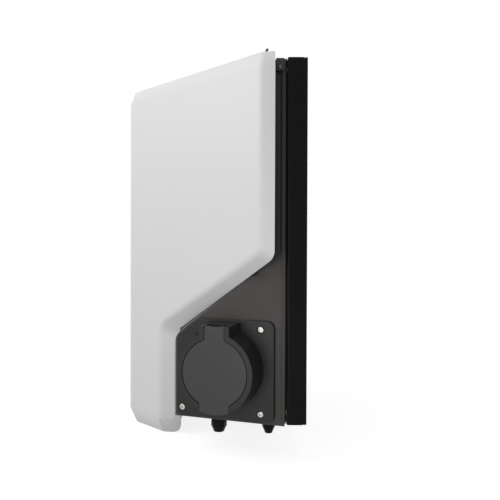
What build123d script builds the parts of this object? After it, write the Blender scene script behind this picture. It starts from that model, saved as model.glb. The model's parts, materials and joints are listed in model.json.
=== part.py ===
from build123d import *
import os
from math import cos, radians, sin, sqrt, tan

os.makedirs("parts", exist_ok=True)

# Frame: X runs to the right of someone facing the box, Y runs into the wall and is 0 on it,
# Z runs up. The origin is the middle of the wall screw pattern. All sizes are millimetres.

# Back box and wall plate
box_width = 320.0
box_height = 350.0
box_front = 18.9
box_wall = 3.0
box_corner = 3.0
box_edge = 2.0
plate_thick = 4.0
plate_margin = 0.6
plate_corner = 6.0
wall_hole_across = 240.0
wall_hole_up = 280.0
wall_hole_radius = 3.25
frame_opening_width = 268.0
frame_opening_height = 326.0
frame_opening_corner = 6.0
joining_across = 304.0
joining_up = 330.0
joining_boss = 6.2
supply_hole_radius = 16.0
supply_hole_height = -130.0
supply_cable_radius = 9.0

# Seal between the back box and the housing
seal_thick = 1.0
seal_margin = 2.0
seal_width = 5.0

# Housing: a body with a flat front and slanted flanks, and a pod low on each side
housing_top = 178.0
housing_bottom = -180.3
housing_wall = 3.0
flange_half = 146.0
flange_thick = 4.6
flange_round = 2.2
body_half = 142.0
body_front = 131.5
flank_reach = 188.0
pod_edge_round = 4.0
pod_front_corner = 15.0
pod_roof_point = (-45.8, -28.2)
pod_roof_slope = 38.9
block_face = 147.2
block_width = 8.0
block_height = 12.0
block_front = 29.4
block_rear = 21.4
side_screw_depth = 25.4
side_screw_height = 169.2
side_screw_head = 2.0
side_screw_shank = 1.2
side_screw_rise = 1.2

# Front cover: two faces at 45 degrees that meet at an upright ridge
cover_top = 181.0
cover_height = 400.0
cover_wall = 3.0
cover_apex = 206.07
ridge_round = 15.6
cover_rear = 31.0
cover_gap = 0.6
rim_inset = 5.0
rim_height = 15.0
lower_rim_inset = 8.0
lower_rim_height = 18.0
band_start_upper = 161.0
band_start_lower = 49.3
band_turn = 34.3
band_fall = 0.5
band_lead = 5.0
band_reach = 160.0
crease_diagonal_point = (142.1, -24.1)
crease_diagonal_slope = 28.06
crease_corner = 14.0
crease_round = 13.0
rim_upper_corner = 14.0
beak_corner = 17.0
return_start = 139.3
return_turn = 8.0
return_top = -112.0
pillar_radius = 5.0
pillar_across = 34.0
pillar_heights = (-70.0, 120.0)
pillar_blind = 16.0
peg_x = 150.0
peg_depth = 40.3
peg_radius = 1.15
peg_gap = 0.1
peg_lean = 27.0
peg_height = 5.4

# Socket, in its own plane: u across, v up, w out of the pod's panel
socket_centre = (129.0, -83.1, -128.2)
socket_turn = 18.7
flange_plate_thick = 2.6
flange_plate_width = 105.5
flange_plate_height = 100.4
flange_plate_shift = 2.75
flange_plate_corner = 8.0
gasket_thick = 1.0
gasket_margin = 1.2
screw_pitch_u = 84.0
screw_pitch_v = 83.0
ring_u = 4.6
ring_v = 1.8
ring_depth = 29.9
ring_radius = 38.6
ring_draft = 3.0
plate_edge = 0.6
lid_radius = 33.0
lid_gap = 0.6
lid_thick = 4.4
lid_edge = 0.5
lid_bevel_rise = 3.3
lid_bevel_angle = 35.0
lid_seal_thick = 1.2
lid_seal_inner = 28.8
lid_seal_width = 1.6
lid_seat_gap = 0.2
well_radius = 28.4
well_wall = 3.4
well_clearance = 0.4
well_depth = 34.0
pull_tab_width = 30.4
pull_tab_radius = 39.6
tab_gap = 0.4
hinge_block_width = 30.0
hinge_tab_width = 20.2
knuckle_radius = 6.0
knuckle_corner = 3.0
pocket_gap = 1.8
pin_radius = 1.5
pin_gap = 0.05
hinge_top = 46.6
block_draft = 3.0
block_taper = 2.6
spring_wire = 0.8
spring_turns = 5.0
spring_radius = 2.5
spring_length = 7.2
spring_slot = 9.0
lid_slab = 2.0

# Contact insert
insert_radius = 24.2
insert_flat = 17.5
insert_face = 9.0
insert_base_thick = 5.0
power_pin_radius = 3.0
signal_pin_radius = 1.5
sleeve_wall = 0.9
sleeve_sink = 2.0
sleeve_tail = 9.0
power_pins = ((0.0, 0.0), (-13.4, 0.0), (13.4, 0.0), (-7.2, -12.8), (7.2, -12.8))
signal_pins = ((-6.6, 10.6), (6.6, 10.6))

# Lock
bolt_radius = 2.2
bolt_gap = 0.08
bolt_depth = -17.0
bolt_travel = 6.5
bolt_tip_gap = 0.4
actuator_width = 34.0
actuator_height = 20.0
actuator_depth = 18.0
actuator_corner = 2.0

# Screws
screw_head = 3.2
screw_shank = 1.9
screw_length = 12.0
screw_clearance = 0.15
head_height = 1.9
hex_size = 2.5
screw_sink = 0.8
screw_sink_gap = 0.9

# Cable glands under the pod
gland_x = 111.0
gland_wall = 1.5
gland_taper = 22.0
locknut_thick = 3.5
glands = {"front": (-85.6, 15.0, 15.4), "rear": (-34.2, 12.2, 17.0)}

# Rail and the modules that clip on it
rail_height = 35.0
rail_depth = 7.5
rail_sheet = 1.0
rail_length = 216.0
rail_centre = 62.0
module_height = 88.0
module_nose = 45.0
module_shoulder = 44.0
module_depth = 62.0
module_pitch = 18.0
module_gap = 2.0
toggle_radius = 5.6
toggle_lever = 15.0
toggle_throw = 40.0
toggle_gap = 0.3
test_button_radius = 2.6
test_button_travel = 1.4
test_button_drop = 17.0
test_button_length = 5.0
toggle_sink = 2.0
toggle_thick = 3.0
module_round = 1.5
terminal_radius = 2.5
terminal_depth = 3.0
terminal_rise = 33.0
rail_web = 12.5
rail_flange = 15.0
rail_screw_pitch = 206.0
window_width = 44.0
window_height = 20.0
window_depth = 1.2

# Other modules on the wall plate: places are across and up
grommet_lip = 2.0
supply_place = (-62.0, -64.0)
supply_width = 92.0
supply_height = 52.0
supply_depth = 28.0
vent_pitch = 9.0
vent_width = 2.0
clamp_place = (22.0, -78.0)
clamp_pitch = 10.0
clamp_height = 34.0
clamp_depth = 30.0
earth_bar_place = (22.0, -36.0)
earth_bar_length = 60.0
earth_bar_size = 8.0
earth_bar_rise = 8.0
sensor_place = (0.0, 145.0)
sensor_radius = 17.0
sensor_bore = 9.0
sensor_depth = 16.0

# Boards
board_spacer = 10.0
board_width = 96.0
board_height = 150.0
board_centre = 20.0
board_thick = 1.6
spacer_radius = 3.0
chip_size = 16.0
chip_thick = 1.2
relay_width = 20.0
relay_depth = 16.0
reader_spacer = 8.0
reader_width = 64.0
reader_height = 70.0
reader_centre = 20.0
coil_thick = 0.3

# Derived places
housing_rear = box_front + seal_thick
cover_bottom = cover_top - cover_height
panel_drop = flange_plate_thick + gasket_thick
turn = radians(socket_turn)
socket_u = Vector(sin(turn), cos(turn), 0)
socket_w = Vector(cos(turn), -sin(turn), 0)
roof_tangent = tan(radians(pod_roof_slope))
band_angle = radians(45.0 - band_turn)
block_middle = block_face - block_width / 2
pillar_places = [(side * pillar_across, z) for side in (-1, 1) for z in pillar_heights]
band_direction = Vector(sin(band_angle), cos(band_angle), -band_fall).normalized()


def socket_plane(height):
    """Plane parallel to the pod's panel, at a height out of the flange plate's front."""
    return Plane(Vector(*socket_centre) + socket_w * height, x_dir=socket_u, z_dir=socket_w)


def panel_x(y):
    """Half width of the pod's panel at a depth y."""
    foot = Vector(*socket_centre) - socket_w * panel_drop
    return foot.X + (y - foot.Y) * tan(turn)


def roof_z(y):
    """Height of the pod's sloping roof at a depth y."""
    return pod_roof_point[1] + (y - pod_roof_point[0]) * roof_tangent


def gland_bore(size):
    """Radius of the cable that a gland grips, for the width of its hexagon."""
    return 0.2 * size


def gland_thread(size):
    """Radius of a gland's thread, for the width of its hexagon."""
    return 0.42 * size


# Wall plate: the sheet that is screwed to the wall first
with BuildPart() as wall_plate:
    with BuildSketch(Plane.XZ):
        RectangleRounded(box_width - 2 * plate_margin, box_height - 2 * plate_margin, plate_corner)
        with GridLocations(wall_hole_across, wall_hole_up, 2, 2):
            Circle(wall_hole_radius, mode=Mode.SUBTRACT)
        with GridLocations(joining_across, joining_up, 2, 2):
            Circle(screw_shank + screw_clearance, mode=Mode.SUBTRACT)
        with Locations((0, supply_hole_height)):
            Circle(supply_hole_radius, mode=Mode.SUBTRACT)
    extrude(amount=plate_thick)
wall_plate.part.label = "wall_plate"
export_step(wall_plate.part, "parts/wall_plate.step")

# Back box: a shallow frame over the wall plate, with a lip round its open front
with BuildPart() as back_box:
    with BuildSketch(Plane.XZ.offset(plate_thick)):
        RectangleRounded(box_width, box_height, box_corner)
    extrude(amount=box_front - plate_thick)
    fillet(back_box.faces().sort_by(Axis.Y)[0].edges(), box_edge)
    with BuildSketch(Plane.XZ.offset(plate_thick)):
        Rectangle(box_width - 2 * box_wall, box_height - 2 * box_wall)
    extrude(amount=box_front - plate_thick - box_wall, mode=Mode.SUBTRACT)
    with BuildSketch(Plane.XZ.offset(plate_thick)):
        RectangleRounded(frame_opening_width, frame_opening_height, frame_opening_corner)
    extrude(amount=box_front - plate_thick, mode=Mode.SUBTRACT)
    with BuildSketch(Plane.XZ.offset(plate_thick)):
        with GridLocations(joining_across, joining_up, 2, 2):
            Circle(joining_boss)
    extrude(amount=box_front - plate_thick - box_wall / 2)
    with BuildSketch(Plane.XZ.offset(plate_thick)):
        with GridLocations(joining_across, joining_up, 2, 2):
            Circle(screw_shank + screw_clearance)
    extrude(amount=box_front - plate_thick, mode=Mode.SUBTRACT)
    with BuildSketch(Plane.XZ.offset(box_front)):
        with GridLocations(joining_across, joining_up, 2, 2):
            Circle(screw_head + screw_clearance)
    extrude(amount=-head_height, mode=Mode.SUBTRACT)
back_box.part.label = "back_box"
export_step(back_box.part, "parts/back_box.step")

# Screws that join the back box to the wall plate, sunk flush in its corners
with BuildPart() as joining_screws:
    with BuildSketch(Plane.XZ.offset(box_front)):
        with GridLocations(joining_across, joining_up, 2, 2):
            Circle(screw_head)
    extrude(amount=-head_height)
    with BuildSketch(Plane.XZ.offset(box_front - head_height)):
        with GridLocations(joining_across, joining_up, 2, 2):
            Circle(screw_shank)
    extrude(amount=head_height - box_front + plate_thick / 4)
    with BuildSketch(Plane.XZ.offset(box_front)):
        with GridLocations(joining_across, joining_up, 2, 2):
            RegularPolygon(hex_size / 2, 6, major_radius=False)
    extrude(amount=-head_height / 2, mode=Mode.SUBTRACT)
joining_screws.part.label = "joining_screws"
export_step(joining_screws.part, "parts/joining_screws.step")

# Seal between the back box and the housing, set back from the edge
with BuildPart() as housing_seal:
    with BuildSketch(Plane.XZ.offset(box_front)):
        RectangleRounded(
            frame_opening_width + 2 * (seal_margin + seal_width),
            frame_opening_height + 2 * (seal_margin + seal_width),
            frame_opening_corner + seal_margin + seal_width,
        )
        RectangleRounded(
            frame_opening_width + 2 * seal_margin,
            frame_opening_height + 2 * seal_margin,
            frame_opening_corner + seal_margin,
            mode=Mode.SUBTRACT,
        )
    extrude(amount=seal_thick)
housing_seal.part.label = "housing_seal"
export_step(housing_seal.part, "parts/housing_seal.step")


def pod_form(inset):
    """The two side pods as one block: slanted panels, cut to the side profile with its roof."""
    with BuildPart() as form:
        with BuildSketch(Plane.XY.offset(housing_bottom + inset)):
            with BuildLine():
                Polyline(
                    (-panel_x(-body_front), -body_front),
                    (panel_x(-body_front), -body_front),
                    (panel_x(0), 0),
                    (-panel_x(0), 0),
                    close=True,
                )
            make_face()
            fillet(vertices().group_by(Axis.Y)[0], pod_edge_round)
            offset(amount=-inset, kind=Kind.INTERSECTION)
        extrude(amount=roof_z(0) - housing_bottom - inset)
        with BuildSketch(Plane.YZ):
            with BuildLine():
                Polyline(
                    (0, housing_bottom),
                    (-body_front, housing_bottom),
                    (-body_front, roof_z(-body_front)),
                    (0, roof_z(0)),
                    close=True,
                )
            make_face()
            fillet(vertices().group_by(Axis.X)[0].sort_by(Axis.Y)[-1], pod_front_corner)
            offset(amount=-inset, kind=Kind.INTERSECTION)
        extrude(amount=panel_x(0), both=True, mode=Mode.INTERSECT)
    return form.part


def housing_form(inset, rear):
    """The housing's outside at inset 0, or its cavity at a wall's thickness."""
    pods = pod_form(inset)
    meeting = (panel_x(0) - flank_reach) / (1 - tan(turn))
    with BuildPart() as form:
        for level, half in ((housing_bottom, flank_reach + meeting), (roof_z(meeting), body_half)):
            with BuildSketch(Plane.XY.offset(level + inset)):
                with BuildLine():
                    Polyline(
                        (-half, 0),
                        (-half, half - flank_reach),
                        (body_front - flank_reach, -body_front),
                        (flank_reach - body_front, -body_front),
                        (half, half - flank_reach),
                        (half, 0),
                        close=True,
                    )
                make_face()
                offset(amount=-inset, kind=Kind.INTERSECTION)
            extrude(amount=housing_top - level - 2 * inset)
        add(pods)
        split(bisect_by=Plane.XZ.offset(rear), keep=Keep.TOP)
    return form.part


# Housing: a hollow body with two pods, a flange behind and a block at each top corner
housing_outside = housing_form(0, housing_rear)
housing_cavity = housing_form(housing_wall, housing_rear + flange_thick)
with BuildPart() as housing:
    with BuildSketch(Plane.XZ.offset(housing_rear)):
        with Locations((0, (housing_top + housing_bottom) / 2)):
            RectangleRounded(2 * flange_half, housing_top - housing_bottom, flange_round)
    extrude(amount=flange_thick)
    fillet(housing.faces().sort_by(Axis.Y)[0].edges(), flange_round)
    with BuildSketch(Plane.XY.offset(housing_top)):
        for side in (-1, 1):
            with Locations((side * block_middle, -block_front / 2 - block_rear / 2)):
                Rectangle(block_width, block_front - block_rear)
    extrude(amount=-block_height)
    add(housing_outside)
    add(housing_cavity, mode=Mode.SUBTRACT)
    with BuildSketch(Plane.XZ.offset(housing_rear)):
        RectangleRounded(frame_opening_width, frame_opening_height, frame_opening_corner)
    extrude(amount=flange_thick, mode=Mode.SUBTRACT)
    with BuildSketch(socket_plane(-panel_drop)):
        with Locations((ring_u, ring_v)):
            Circle(well_radius + well_wall + well_clearance)
    extrude(amount=-housing_wall * 1.2, mode=Mode.SUBTRACT)
    with BuildSketch(socket_plane(-panel_drop)):
        with GridLocations(screw_pitch_u, screw_pitch_v, 2, 2):
            Circle(screw_shank + screw_clearance)
    extrude(amount=-screw_length, mode=Mode.SUBTRACT)
    with BuildSketch(Plane.XY.offset(housing_bottom)):
        for gland_y, gland_size, gland_drop in glands.values():
            with Locations((gland_x, gland_y)):
                Circle(gland_thread(gland_size) + screw_clearance)
    extrude(amount=housing_wall, mode=Mode.SUBTRACT)
    with BuildSketch(Plane.XZ.offset(body_front)):
        with Locations(*pillar_places):
            Circle(screw_shank + screw_clearance)
    extrude(amount=-housing_wall, mode=Mode.SUBTRACT)
    with BuildSketch(Plane.YZ.offset(block_face)):
        with Locations((-side_screw_depth, side_screw_height)):
            Circle(side_screw_shank + pin_gap)
    extrude(amount=-2 * block_face, mode=Mode.SUBTRACT)
housing.part.label = "housing"
export_step(housing.part, "parts/housing.step")

# Small screws through the top blocks from the sides
with BuildPart() as side_screws:
    with BuildSketch(Plane.YZ.offset(block_face)):
        with Locations((-side_screw_depth, side_screw_height)):
            Circle(side_screw_head)
    extrude(amount=side_screw_rise)
    fillet(side_screws.faces().sort_by(Axis.X)[-1].edges(), side_screw_rise / 2)
    with BuildSketch(Plane.YZ.offset(block_face)):
        with Locations((-side_screw_depth, side_screw_height)):
            Circle(side_screw_shank)
    extrude(amount=-block_width)
    mirror(about=Plane.YZ)
side_screws.part.label = "side_screws"
export_step(side_screws.part, "parts/side_screws.step")


def face_plane(inset):
    """Plane of the cover's right face, a lead outside it, along which the band's cut starts."""
    outward = Vector(1, -1, 0).normalized()
    start = Vector(0, -cover_apex, 0) - outward * inset - band_direction * band_lead
    return Plane(start, x_dir=Vector(1, 1, 0), z_dir=outward)


def band_cutter(inset):
    """What lies outside the sloping band round the right face: flank, diagonal and beak."""
    upper = band_start_upper * sqrt(2)
    lower = band_start_lower * sqrt(2)
    slope = tan(radians(crease_diagonal_slope))
    start_s = crease_diagonal_point[0] * sqrt(2)
    start_z = crease_diagonal_point[1]
    with BuildPart() as cutter:
        with BuildSketch(face_plane(inset)):
            with BuildLine():
                Polyline(
                    (upper, cover_height),
                    (upper, start_z + (upper - start_s) * slope),
                    (lower, start_z + (lower - start_s) * slope),
                    (lower, -cover_height),
                    (cover_height, -cover_height),
                    (cover_height, cover_height),
                    close=True,
                )
            make_face()
            fillet(vertices().filter_by(lambda v: abs(v.Y) < cover_height / 2), crease_corner)
            offset(amount=inset * tan(radians(band_turn / 2)), kind=Kind.INTERSECTION)
        extrude(amount=band_reach, dir=band_direction)
    return cutter.part


def return_cutter(inset):
    """What lies outside the beak's right side wall behind its band."""
    crease_y = band_start_lower - cover_apex
    start = band_start_lower + (-return_start - crease_y) * tan(band_angle) - inset
    run = return_start - body_front / 2
    with BuildPart() as cutter:
        with BuildSketch(Plane.XY.offset(cover_bottom - cover_wall)):
            with BuildLine():
                Polyline(
                    (start, -return_start),
                    (start + run, -return_start),
                    (start + run, -return_start + run),
                    (start - run * tan(radians(return_turn)), -return_start + run),
                    close=True,
                )
            make_face()
        extrude(amount=return_top - cover_bottom + cover_wall)
    return cutter.part


def cover_form(inset):
    """The cover's outside at inset 0, or its hollow at a wall's thickness."""
    band = band_cutter(inset)
    beak_side = return_cutter(inset)
    apex = -cover_apex + inset * sqrt(2)
    with BuildPart() as form:
        with BuildSketch(Plane.XY.offset(cover_bottom + inset)):
            with BuildLine():
                Polyline((0, apex), (-apex, 0), (apex, 0), close=True)
            make_face()
            fillet(vertices().sort_by(Axis.Y)[0], ridge_round - inset)
        extrude(amount=cover_height - 2 * inset)
        add(band, mode=Mode.SUBTRACT)
        mirror(band, about=Plane.YZ, mode=Mode.SUBTRACT)
        creases = []
        for side in (-1, 1):
            outward = Vector(side, -1, 0).normalized()
            faces = form.faces().filter_by(lambda f: (f.normal_at() - outward).length < 1e-4)
            for edge in faces.sort_by(SortBy.AREA)[-1].edges():
                middle = edge.center()
                if abs(middle.X) > ridge_round and cover_bottom + 9 < middle.Z < cover_top - 9:
                    creases.append(edge)
        fillet(creases, crease_round - inset)
        for level, inward, rise in (
            (cover_top - inset, rim_inset, rim_height),
            (cover_bottom + inset, lower_rim_inset, lower_rim_height),
        ):
            end = form.faces().filter_by(Axis.Z).filter_by_position(Axis.Z, level - 1, level + 1)[0]
            rim = end.edges().filter_by(lambda e: e.center().Y < -1)
            chamfer(rim, length=inward, length2=rise, reference=end)
        add(beak_side, mode=Mode.SUBTRACT)
        mirror(beak_side, about=Plane.YZ, mode=Mode.SUBTRACT)
    return form.part


def rim_cutter():
    """Side profile of what the cover leaves open: the pods with a gap, and all behind the cover."""
    rise = cover_gap / cos(radians(pod_roof_slope))
    front = body_front + cover_gap
    with BuildPart() as cutter:
        with BuildSketch(Plane.YZ):
            with BuildLine():
                Polyline(
                    (-front - beak_corner - 1, cover_bottom),
                    (-front, cover_bottom),
                    (-front, roof_z(-front) + rise),
                    (-cover_rear, roof_z(-cover_rear) + rise),
                    (-cover_rear, cover_top + 1),
                    (cover_apex, cover_top + 1),
                    (cover_apex, cover_bottom - 1),
                    (-front - beak_corner - 1, cover_bottom - 1),
                    close=True,
                )
            make_face()
            beak = vertices().filter_by_position(Axis.X, -front, -front)
            fillet(beak.sort_by(Axis.Y)[0], beak_corner)
            fillet(beak.sort_by(Axis.Y)[-1], pod_front_corner + cover_gap)
            rear = vertices().filter_by_position(Axis.X, -cover_rear, -cover_rear)
            fillet(rear.sort_by(Axis.Y)[0], rim_upper_corner)
        extrude(amount=cover_apex, both=True)
    return cutter.part


# Front cover: a thin ridged shell with a soft band round its edge and four pillars inside
cover_outside = cover_form(0)
cover_hollow = cover_form(cover_wall)
cover_middle = cover_form(cover_wall / 2)
cover_open = rim_cutter()
with BuildPart() as cover_pillars:
    with BuildSketch(Plane.XZ.offset(body_front)):
        with Locations(*pillar_places):
            Circle(pillar_radius)
            Circle(screw_shank + pin_gap, mode=Mode.SUBTRACT)
    extrude(amount=cover_apex - body_front)
    add(cover_middle, mode=Mode.INTERSECT)
    with BuildSketch(Plane.XZ.offset(body_front + pillar_blind)):
        with Locations(*pillar_places):
            Circle(pillar_radius)
    extrude(amount=cover_apex - body_front - pillar_blind)
    add(cover_middle, mode=Mode.INTERSECT)
with BuildPart() as front_cover:
    add(cover_outside)
    add(cover_hollow, mode=Mode.SUBTRACT)
    add(cover_open, mode=Mode.SUBTRACT)
    add(cover_pillars.part)
    with BuildSketch(Plane.XY.offset(cover_top)):
        with Locations((peg_x, -peg_depth)):
            Circle(peg_radius + peg_gap)
    extrude(amount=-cover_wall, mode=Mode.SUBTRACT)
front_cover.part.label = "front_cover"
export_step(front_cover.part, "parts/front_cover.step")

# Cover screws: they reach the pillars from inside the housing
with BuildPart() as cover_screws:
    with BuildSketch(Plane.XZ.offset(body_front - housing_wall - head_height)):
        with Locations(*pillar_places):
            Circle(screw_head)
            RegularPolygon(hex_size / 2, 6, major_radius=False, mode=Mode.SUBTRACT)
    extrude(amount=head_height)
    with BuildSketch(Plane.XZ.offset(body_front - housing_wall - head_height / 2)):
        with Locations(*pillar_places):
            Circle(screw_shank)
    extrude(amount=screw_length)
cover_screws.part.label = "cover_screws"
export_step(cover_screws.part, "parts/cover_screws.step")

# Top peg: a thin leaning pin that stands out of the cover's top near its right corner
with BuildPart() as top_peg:
    with BuildSketch(Plane.XY.offset(cover_top - cover_wall)):
        with Locations((peg_x, -peg_depth)):
            Circle(2 * peg_radius)
    extrude(amount=-peg_radius)
    with BuildSketch(Plane.XY.offset(cover_top - cover_wall)):
        with Locations((peg_x, -peg_depth)):
            Circle(peg_radius)
    extrude(amount=cover_wall)
    lean = radians(peg_lean)
    foot = Vector(peg_x, -peg_depth, cover_top)
    with BuildSketch(Plane(foot, x_dir=(1, 0, 0), z_dir=(0, sin(lean), cos(lean)))):
        Circle(peg_radius)
    extrude(amount=peg_height)
    fillet(top_peg.faces().sort_by(Axis.Z)[-1].edges(), peg_radius / 2)
top_peg.part.label = "top_peg"
export_step(top_peg.part, "parts/top_peg.step")

# Gasket under the socket's flange plate
with BuildPart() as socket_gasket:
    with BuildSketch(socket_plane(-panel_drop)):
        with Locations((flange_plate_shift, 0)):
            RectangleRounded(
                flange_plate_width - 2 * gasket_margin,
                flange_plate_height - 2 * gasket_margin,
                flange_plate_corner - gasket_margin,
            )
        with Locations((ring_u, ring_v)):
            Circle(well_radius + well_wall + well_clearance, mode=Mode.SUBTRACT)
        with GridLocations(screw_pitch_u, screw_pitch_v, 2, 2):
            Circle(screw_shank + screw_clearance, mode=Mode.SUBTRACT)
    extrude(amount=gasket_thick)
socket_gasket.part.label = "socket_gasket"
export_step(socket_gasket.part, "parts/socket_gasket.step")

# Socket flange: plate, tapered ring, hinge ears and the well behind, moulded in one
lid_seat = ring_depth - lid_thick
recess_floor = lid_seat - lid_seal_thick - lid_seat_gap
pin_w = ring_depth - knuckle_radius
pin_v = hinge_top - knuckle_radius
with BuildPart() as socket_flange:
    with BuildSketch(socket_plane(-flange_plate_thick)):
        with Locations((flange_plate_shift, 0)):
            RectangleRounded(flange_plate_width, flange_plate_height, flange_plate_corner)
    extrude(amount=flange_plate_thick)
    fillet(socket_flange.faces().sort_by(Axis(socket_centre, tuple(socket_w)))[-1].edges(), plate_edge)
    with BuildSketch(socket_plane(ring_depth)):
        with Locations((ring_u, ring_v)):
            Circle(ring_radius)
    extrude(amount=-ring_depth - flange_plate_thick, taper=-ring_draft)
    with BuildSketch(socket_plane(-flange_plate_thick)):
        with Locations((ring_u, (hinge_top + ring_v) / 2)):
            Rectangle(hinge_block_width + block_draft, hinge_top - ring_v + block_draft)
    extrude(amount=ring_depth + flange_plate_thick, taper=block_taper)
    with BuildSketch(socket_plane(-flange_plate_thick)):
        with Locations((ring_u, ring_v)):
            Circle(well_radius + well_wall)
    extrude(amount=flange_plate_thick - well_depth)
    with BuildSketch(socket_plane(ring_depth)):
        with Locations((ring_u, ring_v)):
            Circle(lid_radius + lid_gap)
    extrude(amount=recess_floor - ring_depth, mode=Mode.SUBTRACT)
    with BuildSketch(socket_plane(ring_depth)):
        with Locations((ring_u, ring_v)):
            Circle(well_radius)
    extrude(amount=-ring_depth - well_depth, mode=Mode.SUBTRACT)
    with BuildSketch(socket_plane(ring_depth)):
        with Locations((ring_u, ring_v - pull_tab_radius / 2 - tab_gap)):
            Rectangle(pull_tab_width + 2 * tab_gap, pull_tab_radius + 2 * tab_gap)
    extrude(amount=recess_floor - ring_depth, mode=Mode.SUBTRACT)
    with BuildSketch(socket_plane(ring_depth)):
        with Locations((ring_u, ring_v + lid_radius - 2 * lid_gap)):
            Rectangle(
                hinge_tab_width + 2 * tab_gap, hinge_top - ring_v, align=(Align.CENTER, Align.MIN)
            )
    extrude(amount=pin_w - knuckle_radius - pocket_gap - ring_depth, mode=Mode.SUBTRACT)
    with BuildSketch(Plane(socket_plane(0).from_local_coords((ring_u, pin_v, pin_w)),
                           x_dir=socket_w, z_dir=socket_u)):
        Circle(pin_radius + pin_gap)
    extrude(amount=hinge_block_width, both=True, mode=Mode.SUBTRACT)
    with BuildSketch(socket_plane(0)):
        with GridLocations(screw_pitch_u, screw_pitch_v, 2, 2):
            Circle(screw_head + screw_sink_gap)
    extrude(amount=-screw_sink, mode=Mode.SUBTRACT)
    with BuildSketch(socket_plane(0)):
        with GridLocations(screw_pitch_u, screw_pitch_v, 2, 2):
            Circle(screw_shank + screw_clearance)
    extrude(amount=-flange_plate_thick, mode=Mode.SUBTRACT)
    bolt_top = Plane(socket_plane(0).from_local_coords((ring_u, ring_v, bolt_depth)),
                     x_dir=socket_w, z_dir=(0, 0, 1))
    with BuildSketch(bolt_top):
        Circle(bolt_radius + bolt_gap)
    extrude(amount=well_radius + 2 * well_wall, mode=Mode.SUBTRACT)
socket_flange.part.label = "socket_flange"
export_step(socket_flange.part, "parts/socket_flange.step")

# Stainless button-head screws of the flange plate
with BuildPart() as socket_screws:
    with BuildSketch(socket_plane(-screw_sink)):
        with GridLocations(screw_pitch_u, screw_pitch_v, 2, 2):
            Circle(screw_head)
    extrude(amount=head_height)
    fillet(socket_screws.faces().group_by(Axis(socket_centre, tuple(socket_w)))[-1].edges(),
           head_height * 0.6)
    with BuildSketch(socket_plane(head_height - screw_sink)):
        with GridLocations(screw_pitch_u, screw_pitch_v, 2, 2):
            RegularPolygon(hex_size / 2, 6, major_radius=False)
    extrude(amount=-head_height * 0.7, mode=Mode.SUBTRACT)
    with BuildSketch(socket_plane(-screw_sink)):
        with GridLocations(screw_pitch_u, screw_pitch_v, 2, 2):
            Circle(screw_shank)
    extrude(amount=-screw_length)
socket_screws.part.label = "socket_screws"
export_step(socket_screws.part, "parts/socket_screws.step")

# Lid: a flush disc with a pull tab below, and a tab above that ends in two knuckles
hinge_foot = socket_plane(0).from_local_coords((ring_u, pin_v, pin_w))
hinge_plane = Plane(hinge_foot, x_dir=socket_w, z_dir=socket_u)
with BuildPart() as lid:
    with BuildSketch(socket_plane(lid_seat + lid_bevel_rise)):
        with Locations((ring_u, ring_v)):
            Circle(lid_radius)
    extrude(amount=lid_thick - lid_bevel_rise)
    with BuildSketch(socket_plane(lid_seat + lid_bevel_rise)):
        with Locations((ring_u, ring_v)):
            Circle(lid_radius)
    extrude(amount=-lid_bevel_rise, taper=lid_bevel_angle)
    with BuildSketch(socket_plane(lid_seat)):
        with Locations((ring_u, ring_v)):
            Circle(pull_tab_radius)
            Rectangle(pull_tab_width, 2 * pull_tab_radius, mode=Mode.INTERSECT)
        with Locations((ring_u, ring_v + pull_tab_radius)):
            Rectangle(pull_tab_width, 2 * pull_tab_radius, mode=Mode.SUBTRACT)
    extrude(amount=lid_thick)
    with BuildSketch(socket_plane(lid_seat)):
        with Locations((ring_u, (pin_v + ring_v) / 2)):
            Rectangle(hinge_tab_width, pin_v - ring_v)
    extrude(amount=lid_thick)
    with BuildSketch(hinge_plane.offset(-hinge_tab_width / 2)):
        Circle(knuckle_radius)
        with Locations((knuckle_radius / 2, -knuckle_radius / 2)):
            Rectangle(knuckle_radius, knuckle_radius)
        fillet(vertices().sort_by_distance((knuckle_radius, -knuckle_radius))[0], knuckle_corner)
    extrude(amount=hinge_tab_width)
    with BuildSketch(socket_plane(ring_depth - lid_slab)):
        with Locations((ring_u, pin_v)):
            Rectangle(spring_slot, 2 * knuckle_radius)
    extrude(amount=-2 * knuckle_radius, mode=Mode.SUBTRACT)
    with BuildSketch(hinge_plane):
        Circle(pin_radius + pin_gap)
    extrude(amount=hinge_block_width, both=True, mode=Mode.SUBTRACT)
    front = lid.faces().filter_by(lambda f: (f.normal_at() - socket_w).length < 1e-4)
    fillet(front.sort_by(SortBy.AREA)[-1].outer_wire().edges(), lid_edge)
lid.part.label = "lid"
export_step(lid.part, "parts/lid.step")

# Lid seal: a ring in the lid's back that meets the seat in the ring
with BuildPart() as lid_seal:
    with BuildSketch(socket_plane(lid_seat)):
        with Locations((ring_u, ring_v)):
            Circle(lid_seal_inner + lid_seal_width)
            Circle(lid_seal_inner, mode=Mode.SUBTRACT)
    extrude(amount=-lid_seal_thick)
lid_seal.part.label = "lid_seal"
export_step(lid_seal.part, "parts/lid_seal.step")

# Hinge pin through both ears
with BuildPart() as hinge_pin:
    with BuildSketch(hinge_plane):
        Circle(pin_radius)
    extrude(amount=hinge_block_width / 2 - lid_edge, both=True)
    chamfer(hinge_pin.edges(), lid_edge / 2)
hinge_pin.part.label = "hinge_pin"
export_step(hinge_pin.part, "parts/hinge_pin.step")

# Lid spring: a coil round the pin between the knuckles
with BuildPart() as lid_spring:
    coil_start = hinge_foot - socket_u * (spring_length / 2)
    with BuildLine() as coil:
        Helix(
            spring_length / spring_turns,
            spring_length,
            spring_radius,
            center=tuple(coil_start),
            direction=tuple(socket_u),
        )
    with BuildSketch(Plane(coil.line @ 0, z_dir=coil.line % 0)):
        Circle(spring_wire / 2)
    sweep(path=coil.line, is_frenet=True)
lid_spring.part.label = "lid_spring"
export_step(lid_spring.part, "parts/lid_spring.step")

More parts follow.
